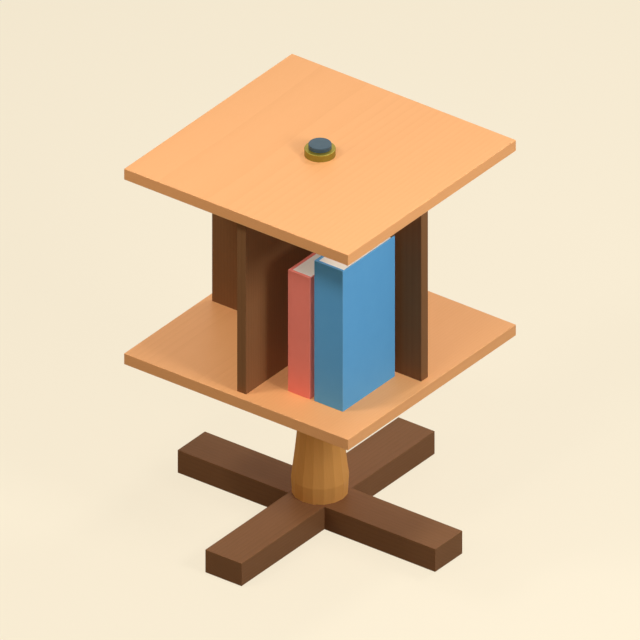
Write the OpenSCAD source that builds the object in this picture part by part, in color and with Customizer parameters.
// Revolving bookcase. A square case with a top board, a bottom shelf and four dividers turns on a
// steel spindle. The spindle stands in a faceted column on two crossed foot rails, and a thrust
// bearing between the column and the shelf carries the case. Two books stand in one compartment.
// Millimetres, +Z up. The origin is on the spindle's axis, at the floor.

/* [Case] */
// Side of the square top board
top_w = 400; // [380:1:520]
// Thickness of the top board
top_t = 18; // [16:0.5:28]
// Side of the square bottom shelf
shelf_w = 400; // [330:1:410]
// Thickness of the bottom shelf
shelf_t = 18; // [14:0.5:28]
// Clear height between the bottom shelf and the top board
clear_h = 289.5; // [250:0.5:360]
// Thickness of a divider
divider_t = 16; // [12:0.5:24]
// How far the dividers stop short of the edge of the shelf
divider_inset = 13; // [2:0.5:40]
// Side of the square centre post
post_w = 36; // [34:0.5:60]
// Bore of the centre post
post_bore_d = 20; // [18:0.5:22]
// Depth of the mortises that the post stands in
mortise_d = 4; // [2:0.5:6]
// Thickness of the tongue on a divider
tongue_t = 6; // [4:0.5:10]
// Depth of the tongue on a divider
tongue_d = 5; // [3:0.5:6]

/* [Column and feet] */
// Length of a foot rail
foot_len = 460; // [380:1:560]
// Width of a foot rail
foot_w = 65; // [56:0.5:90]
// Height of a foot rail
foot_h = 38; // [34:0.5:60]
// Height of the column
column_h = 225.5; // [160:0.5:300]
// Number of flat sides of the column
column_sides = 16; // [8:1:24]
// Corner radius of the column at its foot
column_foot_r = 40.6; // [36:0.1:50]
// Corner radius of the column where it swells most
column_swell_r = 42; // [36:0.1:55]
// Height of the swell above the foot of the column
column_swell_h = 26; // [10:0.5:60]
// Corner radius of the column at its neck
column_neck_r = 27; // [24:0.1:34]
// How quickly the column draws in above the swell
column_draw = 1.74; // [1:0.01:3]
// Diameter of a glide
glide_d = 30; // [20:0.5:45]
// Thickness of a glide
glide_t = 4; // [3:0.1:8]
// How far the glides hold the rails off the floor
glide_lift = 1.5; // [1:0.1:2.5]
// Distance from the end of a rail to the middle of its glide
glide_inset = 32; // [26:0.5:60]

/* [Spindle and bearing] */
// Diameter of the spindle
spindle_d = 16; // [13:0.1:17]
// Diameter of the threaded tail of the spindle
tail_d = 12; // [8:0.1:12.5]
// Diameter of the stud at the top of the spindle
stud_d = 10; // [6:0.1:12]
// Length of the stud at the top of the spindle
stud_h = 4; // [2:0.1:5]
// Outer diameter of the bearing races
race_d = 35; // [32:0.1:40]
// Thickness of a bearing race
race_t = 4.3; // [3:0.1:8]
// Space between the bearing races
race_gap = 3.4; // [3:0.1:4.4]
// Diameter of the circle through the middles of the balls
ball_circle_d = 26; // [25:0.1:26.5]
// Diameter of a ball
ball_d = 5; // [4.6:0.1:5.4]
// Number of balls
ball_count = 12; // [6:1:12]
// Thickness of the ball cage
cage_t = 1.6; // [1:0.1:2.4]
// Width of the ring of the ball cage
cage_w = 8; // [6.4:0.1:8.6]
// Thickness of the washer under the spindle's shoulder
column_washer_t = 2.5; // [1:0.1:5]
// Gap between the top of the column and the bearing plate
column_gap = 4.5; // [2:0.1:8]
// Diameter of the bearing plate
plate_d = 76; // [70:0.5:110]
// Thickness of the bearing plate
plate_t = 4; // [3:0.1:8]
// Depth of the seat for the upper race in the bearing plate
race_seat = 1; // [0.4:0.1:1.4]
// Outer diameter of the sleeves of the bush and the collar
sleeve_d = 26; // [20:0.1:32]
// Diameter of the flange of the lower bush
bush_flange_d = 40; // [36:0.1:46]
// Thickness of the flange of the lower bush
bush_flange_t = 3; // [2:0.1:5]
// Diameter of the collar on the top board
collar_d = 45; // [38:0.1:70]
// Height of the collar above the top board
collar_h = 10.8; // [5:0.1:25]
// Depth of the seat for the collar in the top board
collar_seat = 3; // [1:0.1:6]
// Diameter of the cap
cap_d = 33.3; // [26:0.1:44]
// Height of the cap
cap_h = 6.4; // [6:0.1:15]
// Thickness of the washer under the cap
cap_washer_t = 0.8; // [0.5:0.1:2]
// Diameter of the washer under the cap
cap_washer_d = 30; // [20:0.1:33]

/* [Fasteners] */
// Diameter of the column dowels
column_dowel_d = 10; // [6:0.5:12]
// Depth of the column dowels in the rail, and in the column
column_dowel_depth = 14; // [8:0.5:16]
// Distance of the column dowels from the axis
column_dowel_r = 24; // [20:0.5:28]
// Diameter of the top dowels
top_dowel_d = 8; // [5:0.5:10]
// Depth of the top dowels in the top board
top_dowel_up = 10; // [6:0.5:14]
// Depth of the top dowels in the dividers
top_dowel_down = 18; // [10:0.5:40]
// Distance of the screws and dowels from the ends of a divider
divider_fix_inset = 32; // [14:0.5:50]
// Diameter of the shelf screws
shelf_screw_d = 4.5; // [3:0.1:6]
// Length of the shelf screws
shelf_screw_len = 45; // [30:0.5:80]
// Diameter of the plate screws
plate_screw_d = 4; // [3:0.1:5]
// Length of the plate screws
plate_screw_len = 14; // [8:0.5:17]
// Distance of the plate screws from the axis
plate_screw_r = 30; // [28:0.5:33]
// Number of plate screws
plate_screw_count = 4; // [3:1:6]
// Diameter of the glide screws
glide_screw_d = 3.5; // [2.5:0.1:5]
// Length of the glide screws
glide_screw_len = 18; // [12:0.5:30]
// How far the heads of the glide screws lie inside the glides
glide_screw_sink = 0.6; // [0.2:0.1:1]
// Diameter of the washer under the rails
base_washer_d = 28; // [25:0.5:40]
// Thickness of the washer under the rails
base_washer_t = 2.5; // [1:0.1:4]
// Width of the base nut across its flats
base_nut_w = 19; // [16:0.5:22]
// Thickness of the base nut
base_nut_t = 8; // [5:0.5:10]
// Length of tail that shows below the base nut
tail_show = 1; // [0:0.1:1.5]

/* [Books] */
// Thickness of the red book
red_w = 39.3; // [15:0.1:60]
// Depth of the red book from spine to fore-edge
red_d = 124.5; // [90:0.5:135]
// Height of the red book
red_h = 202; // [120:0.5:245]
// Thickness of the blue book
blue_w = 51.2; // [15:0.1:70]
// Depth of the blue book from spine to fore-edge
blue_d = 124; // [90:0.5:135]
// Height of the blue book
blue_h = 234; // [120:0.5:245]
// Gap between the front divider and the red book
red_gap = 42; // [12:0.5:60]
// Gap between the two books
book_gap = 7.3; // [1:0.1:20]
// Gap between the right divider and the backs of the books
book_back_gap = 10.6; // [1:0.1:20]
// Thickness of the left-hand board of a book
left_board_t = 5; // [1:0.1:6]
// Thickness of the right-hand board of a book
right_board_t = 1.2; // [1:0.1:6]
// Thickness of the spines
spine_t = 4; // [1.5:0.1:6]
// How far the covers stand out past the pages at the head and the foot
page_inset = 0.5; // [0.3:0.1:6]
// How far the covers stand out past the fore-edge of the pages
fore_inset = 7; // [1:0.1:12]

/* [Clearances] */
// Radial clearance of the spindle in its bushes
run_clear = 0.05; // [0.02:0.01:0.1]
// Radial clearance of the spindle in the bearing races and the bearing plate
race_clear = 0.5; // [0.3:0.05:0.8]
// Clearance of the balls in the grooves of the races
ball_clear = 0.08; // [0.04:0.01:0.15]
// Radial clearance of parts that sit in a seat or a hole
seat_clear = 0.1; // [0.05:0.01:0.2]
// Radial clearance of the threaded tail in the column and the rails
tail_clear = 0.2; // [0.1:0.05:0.5]
// Gap between the collar and the washer under the cap
cap_gap = 0.3; // [0.1:0.05:1]

/* [Hidden] */
$fn = 64;

light_wood = [0.93, 0.66, 0.42];
column_wood = [0.75, 0.50, 0.26];
dark_wood = [0.36, 0.23, 0.14];
pale_wood = [0.86, 0.76, 0.58];
steel = [0.62, 0.64, 0.67];
dark_steel = [0.36, 0.41, 0.44];
brass = [0.66, 0.52, 0.22];
nylon = [0.88, 0.87, 0.82];
dark_plastic = [0.13, 0.12, 0.11];
red_cloth = [0.73, 0.35, 0.29];
blue_cloth = [0.33, 0.54, 0.70];
page_paper = [0.94, 0.90, 0.80];

// How far a cutter runs past the face that it opens
cut = 1;
// Chamfer on the ends of the dowels and on the edges of the metal parts
chamfer = 0.8;
// Directions of the dividers and the rail ends: right, back, left and front
right = 0;
back = 90;
left = 180;
front = 270;
quarters = [right, back, left, front];

// Heights above the floor, from the feet upwards
rail_z = glide_lift;
lap_z = rail_z + foot_h / 2;
rail_top = rail_z + foot_h;
bearing_h = 2 * race_t + race_gap;
pocket_d = column_washer_t + bearing_h - race_seat - column_gap;
column_top = rail_top + column_h;
pocket_z = column_top - pocket_d;
race_z = pocket_z + column_washer_t;
ball_z = race_z + race_t + race_gap / 2;
upper_race_z = race_z + race_t + race_gap;
plate_z = column_top + column_gap;
shelf_z = plate_z + plate_t;
shelf_top = shelf_z + shelf_t;
top_z = shelf_top + clear_h;
top_face = top_z + top_t;
collar_top = top_face + collar_h;
cap_z = collar_top + cap_gap + cap_washer_t;

// The nut and washer lie in a pocket under the rails
nut_pocket_d = base_washer_d + 4 * seat_clear;
nut_pocket_h = base_washer_t + base_nut_t + tail_show;
base_washer_z = rail_z + nut_pocket_h - base_washer_t;
base_nut_z = base_washer_z - base_nut_t;
tail_z = base_nut_z - tail_show;

// Radii that pieces share
spindle_r = spindle_d / 2;
tail_r = tail_d / 2;
tail_hole_r = tail_r + tail_clear;
bush_bore_r = spindle_r + run_clear;
race_bore_r = spindle_r + race_clear;
race_seat_r = race_d / 2 + seat_clear;
groove_r = ball_d / 2 + ball_clear;

// Ends of the dividers and the places of their fixings, from the axis
divider_start = post_w / 2;
divider_end = shelf_w / 2 - divider_inset;
divider_fixings = [divider_start + divider_fix_inset, divider_end - divider_fix_inset];

// Corners of the books nearest to the post
book_back_y = -divider_t / 2 - book_back_gap;
red_x = divider_t / 2 + red_gap;
blue_x = red_x + red_w + book_gap;

column_rings = 10;
column_levels = concat(
    [0],
    [for (i = [0:column_rings]) column_swell_h + (column_h - column_swell_h) * i / column_rings]
);

function column_r(h) = h <= column_swell_h
    ? column_foot_r + (column_swell_r - column_foot_r) * h / column_swell_h
    : column_neck_r + (column_swell_r - column_neck_r)
        * pow(1 - (h - column_swell_h) / (column_h - column_swell_h), column_draw);

// A board on its middle, with its underside at z
module board(w, d, t, z) {
    translate([-w / 2, -d / 2, z]) cube([w, d, t]);
}

// A ring between two radii
module ring(inner_r, outer_r, t) {
    difference() {
        cylinder(r = outer_r, h = t);
        translate([0, 0, -cut]) cylinder(r = inner_r, h = t + 2 * cut);
    }
}

// A countersunk screw, head down, with the face of its head at z = 0
module screw(d, len) {
    rotate_extrude()
        polygon([[0, 0], [d, 0], [d / 2, d / 2], [d / 2, len - d / 2], [0, len]]);
}

// The countersunk hole for such a screw
module screw_hole(d, len) {
    wide = d + seat_clear;
    narrow = d / 2 + seat_clear;
    rotate_extrude()
        polygon([
            [0, -cut], [wide, -cut], [wide, 0], [narrow, d / 2], [narrow, len + seat_clear],
            [0, len + seat_clear]
        ]);
}

// A dowel with chamfered ends
module dowel(d, len) {
    rotate_extrude()
        polygon([
            [0, 0], [d / 2 - chamfer, 0], [d / 2, chamfer], [d / 2, len - chamfer],
            [d / 2 - chamfer, len], [0, len]
        ]);
}

// Copies of the children along all four dividers, at their fixings
module at_divider_fixings(z) {
    for (turn = quarters, x = divider_fixings) rotate(turn) translate([x, 0, z]) children();
}

// Copies of the children at both column dowels
module at_column_dowels() {
    for (turn = [45, 225]) rotate(turn) translate([column_dowel_r, 0, rail_top]) children();
}

// Copies of the children round the bearing plate
module at_plate_screws() {
    for (i = [0:plate_screw_count - 1])
        rotate(45 + 360 * i / plate_screw_count) translate([plate_screw_r, 0, plate_z]) children();
}

// A rail's end, at the middle of its glide
module at_glide(turn) {
    rotate(turn) translate([foot_len / 2 - glide_inset, 0, 0]) children();
}

// Pocket and screw hole for one glide
module glide_cut(turn) {
    at_glide(turn) {
        translate([0, 0, -cut]) cylinder(d = glide_d + 2 * seat_clear, h = glide_t + cut);
        translate([0, 0, glide_screw_sink]) screw_hole(glide_screw_d, glide_screw_len);
    }
}

module foot_rail_x() {
    color(dark_wood) difference() {
        board(foot_len, foot_w, foot_h, rail_z);
        board(foot_w + 2 * seat_clear, foot_w + 2 * cut, foot_h, lap_z);
        translate([0, 0, rail_z - cut]) cylinder(d = nut_pocket_d, h = nut_pocket_h + cut);
        translate([0, 0, rail_z]) cylinder(r = tail_hole_r, h = foot_h);
        glide_cut(right);
        glide_cut(left);
    }
}

module foot_rail_y() {
    color(dark_wood) difference() {
        board(foot_w, foot_len, foot_h, rail_z);
        board(foot_w + 2 * cut, foot_w + 2 * seat_clear, foot_h, lap_z - foot_h);
        translate([0, 0, rail_z]) cylinder(r = tail_hole_r, h = foot_h + cut);
        at_column_dowels() translate([0, 0, -column_dowel_depth - seat_clear])
            cylinder(d = column_dowel_d + 2 * seat_clear, h = column_dowel_depth + seat_clear + cut);
        glide_cut(front);
        glide_cut(back);
    }
}

module foot_glide(turn) {
    color(dark_plastic) at_glide(turn) difference() {
        rotate_extrude() polygon([
            [0, 0], [glide_d / 2 - chamfer, 0], [glide_d / 2, chamfer], [glide_d / 2, glide_t],
            [0, glide_t]
        ]);
        translate([0, 0, glide_screw_sink]) screw_hole(glide_screw_d, glide_screw_len);
    }
}

module glide_screws() {
    color(steel) for (turn = quarters) at_glide(turn)
        translate([0, 0, glide_screw_sink]) screw(glide_screw_d, glide_screw_len);
}

// Rings of corner points, one for each level, joined by flat sides
module column_shell() {
    n = column_sides;
    last = len(column_levels) - 1;
    points = [
        for (h = column_levels, i = [0:n - 1])
            [column_r(h) * cos(360 * i / n), column_r(h) * sin(360 * i / n), h]
    ];
    sides = [
        for (j = [0:last - 1], i = [0:n - 1])
            [j * n + i, (j + 1) * n + i, (j + 1) * n + (i + 1) % n, j * n + (i + 1) % n]
    ];
    bottom = [for (i = [0:n - 1]) i];
    lid = [for (i = [n - 1:-1:0]) last * n + i];
    polyhedron(points, concat([bottom, lid], sides));
}

module column() {
    color(column_wood) difference() {
        translate([0, 0, rail_top]) column_shell();
        translate([0, 0, pocket_z]) cylinder(r = race_seat_r, h = pocket_d + cut);
        translate([0, 0, rail_top - cut]) cylinder(r = tail_hole_r, h = column_h);
        at_column_dowels() translate([0, 0, -cut])
            cylinder(d = column_dowel_d + 2 * seat_clear, h = column_dowel_depth + seat_clear + cut);
    }
}

module column_dowels() {
    color(pale_wood) at_column_dowels()
        translate([0, 0, -column_dowel_depth]) dowel(column_dowel_d, 2 * column_dowel_depth);
}

module column_washer() {
    color(steel) translate([0, 0, pocket_z]) ring(tail_hole_r, race_d / 2, column_washer_t);
}

module spindle() {
    stud_r = stud_d / 2;
    color(steel) rotate_extrude() polygon([
        [0, tail_z], [tail_r, tail_z], [tail_r, race_z], [spindle_r, race_z], [spindle_r, cap_z],
        [stud_r, cap_z], [stud_r, cap_z + stud_h], [0, cap_z + stud_h]
    ]);
}

module base_washer() {
    color(steel) translate([0, 0, base_washer_z])
        ring(tail_hole_r, base_washer_d / 2, base_washer_t);
}

module base_nut() {
    color(steel) translate([0, 0, base_nut_z]) difference() {
        cylinder(d = base_nut_w / cos(30), h = base_nut_t, $fn = 6);
        translate([0, 0, -cut]) cylinder(r = tail_r + seat_clear, h = base_nut_t + 2 * cut);
    }
}

// The groove that the balls run in
module ball_groove() {
    translate([0, 0, ball_z]) rotate_extrude()
        translate([ball_circle_d / 2, 0]) circle(r = groove_r);
}

module race(z) {
    color(steel) difference() {
        translate([0, 0, z]) ring(race_bore_r, race_d / 2, race_t);
        ball_groove();
    }
}

module lower_race() {
    race(race_z);
}

module upper_race() {
    race(upper_race_z);
}

// Copies of the children at the middle of each ball
module at_balls() {
    for (i = [0:ball_count - 1])
        rotate(360 * i / ball_count) translate([ball_circle_d / 2, 0, ball_z]) children();
}

module ball_cage() {
    color(brass) difference() {
        translate([0, 0, ball_z - cage_t / 2])
            ring((ball_circle_d - cage_w) / 2, (ball_circle_d + cage_w) / 2, cage_t);
        at_balls() translate([0, 0, -cage_t])
            cylinder(r = ball_d / 2 + seat_clear, h = 2 * cage_t);
    }
}

module bearing_balls() {
    color(steel) at_balls() sphere(d = ball_d);
}

module bearing_plate() {
    color(steel) difference() {
        translate([0, 0, plate_z]) ring(race_bore_r, plate_d / 2, plate_t);
        translate([0, 0, plate_z - cut]) cylinder(r = race_seat_r, h = race_seat + cut);
        at_plate_screws() screw_hole(plate_screw_d, plate_screw_len);
    }
}

module plate_screws() {
    color(steel) at_plate_screws() screw(plate_screw_d, plate_screw_len);
}

module lower_bush() {
    sleeve_top = shelf_top - mortise_d;
    color(brass) rotate_extrude() polygon([
        [bush_bore_r, shelf_z], [bush_flange_d / 2, shelf_z],
        [bush_flange_d / 2, shelf_z + bush_flange_t], [sleeve_d / 2, shelf_z + bush_flange_t],
        [sleeve_d / 2, sleeve_top], [bush_bore_r, sleeve_top]
    ]);
}

module top_collar() {
    seat_z = top_face - collar_seat;
    color(brass) rotate_extrude() polygon([
        [bush_bore_r, top_z + mortise_d], [sleeve_d / 2, top_z + mortise_d], [sleeve_d / 2, seat_z],
        [collar_d / 2, seat_z], [collar_d / 2, collar_top - chamfer],
        [collar_d / 2 - chamfer, collar_top], [bush_bore_r, collar_top]
    ]);
}

module cap_washer() {
    color(nylon) translate([0, 0, cap_z - cap_washer_t])
        ring(spindle_r + seat_clear, cap_washer_d / 2, cap_washer_t);
}

module spindle_cap() {
    bore_r = stud_d / 2 + seat_clear;
    bore_h = stud_h + seat_clear;
    color(dark_steel) translate([0, 0, cap_z]) rotate_extrude() polygon([
        [bore_r, 0], [cap_d / 2, 0], [cap_d / 2, cap_h - chamfer], [cap_d / 2 - chamfer, cap_h],
        [0, cap_h], [0, bore_h], [bore_r, bore_h]
    ]);
}

// Square mortise for the centre post, from z up
module post_mortise(z, h) {
    board(post_w + 2 * seat_clear, post_w + 2 * seat_clear, h, z);
}

module bottom_shelf() {
    color(light_wood) difference() {
        board(shelf_w, shelf_w, shelf_t, shelf_z);
        post_mortise(shelf_top - mortise_d, mortise_d + cut);
        translate([0, 0, shelf_z - cut])
            cylinder(r = sleeve_d / 2 + seat_clear, h = shelf_t + 2 * cut);
        translate([0, 0, shelf_z - cut])
            cylinder(r = bush_flange_d / 2 + seat_clear, h = bush_flange_t + cut);
        at_plate_screws() screw_hole(plate_screw_d, plate_screw_len);
        at_divider_fixings(shelf_z) screw_hole(shelf_screw_d, shelf_screw_len);
    }
}

module top_board() {
    color(light_wood) difference() {
        board(top_w, top_w, top_t, top_z);
        post_mortise(top_z - cut, mortise_d + cut);
        translate([0, 0, top_z - cut]) cylinder(r = sleeve_d / 2 + seat_clear, h = top_t + 2 * cut);
        translate([0, 0, top_face - collar_seat])
            cylinder(r = collar_d / 2 + seat_clear, h = collar_seat + cut);
        at_divider_fixings(top_z - cut)
            cylinder(d = top_dowel_d + 2 * seat_clear, h = top_dowel_up + seat_clear + cut);
    }
}

module centre_post() {
    post_z = shelf_top - mortise_d;
    post_h = clear_h + 2 * mortise_d;
    groove_w = tongue_t + 2 * seat_clear;
    groove_d = tongue_d + seat_clear;
    color(dark_wood) difference() {
        board(post_w, post_w, post_h, post_z);
        translate([0, 0, post_z - cut]) cylinder(d = post_bore_d, h = post_h + 2 * cut);
        for (turn = quarters) rotate(turn)
            translate([post_w / 2 - groove_d, -groove_w / 2, post_z - cut])
                cube([groove_d + cut, groove_w, post_h + 2 * cut]);
    }
}

module divider(turn) {
    color(dark_wood) rotate(turn) difference() {
        union() {
            translate([divider_start, -divider_t / 2, shelf_top])
                cube([divider_end - divider_start, divider_t, clear_h]);
            translate([divider_start - tongue_d, -tongue_t / 2, shelf_top])
                cube([tongue_d + cut, tongue_t, clear_h]);
        }
        for (x = divider_fixings) {
            translate([x, 0, shelf_z]) screw_hole(shelf_screw_d, shelf_screw_len);
            translate([x, 0, top_z - top_dowel_down - seat_clear])
                cylinder(d = top_dowel_d + 2 * seat_clear, h = top_dowel_down + seat_clear + cut);
        }
    }
}

module shelf_screws() {
    color(steel) at_divider_fixings(shelf_z) screw(shelf_screw_d, shelf_screw_len);
}

module top_dowels() {
    color(pale_wood) at_divider_fixings(top_z - top_dowel_down)
        dowel(top_dowel_d, top_dowel_down + top_dowel_up);
}

// Boards and spine of a closed book, with its spine to the front
module book_cover(x, w, d, h) {
    translate([x, book_back_y - d, shelf_top]) difference() {
        cube([w, d, h]);
        translate([left_board_t, spine_t, -cut])
            cube([w - left_board_t - right_board_t, d, h + 2 * cut]);
    }
}

// The pages between the boards
module book_pages(x, w, d, h) {
    translate([x + left_board_t, book_back_y - d + spine_t, shelf_top + page_inset])
        cube([
            w - left_board_t - right_board_t, d - spine_t - fore_inset, h - 2 * page_inset
        ]);
}

module red_book_cover() {
    color(red_cloth) book_cover(red_x, red_w, red_d, red_h);
}

module red_book_pages() {
    color(page_paper) book_pages(red_x, red_w, red_d, red_h);
}

module blue_book_cover() {
    color(blue_cloth) book_cover(blue_x, blue_w, blue_d, blue_h);
}

module blue_book_pages() {
    color(page_paper) book_pages(blue_x, blue_w, blue_d, blue_h);
}

foot_rail_x();
foot_rail_y();
foot_glide(right);  // foot_glide_right
foot_glide(left);  // foot_glide_left
foot_glide(front);  // foot_glide_front
foot_glide(back);  // foot_glide_back
glide_screws();
column();
column_dowels();
column_washer();
spindle();
base_washer();
base_nut();
lower_race();
cap_washer();
spindle_cap();
ball_cage();
bearing_balls();
bottom_shelf();
top_board();
centre_post();
divider(front);  // divider_front
divider(back);  // divider_back
divider(left);  // divider_left
divider(right);  // divider_right
lower_bush();
top_collar();
bearing_plate();
plate_screws();
upper_race();
shelf_screws();
top_dowels();
red_book_cover();
red_book_pages();
blue_book_cover();
blue_book_pages();
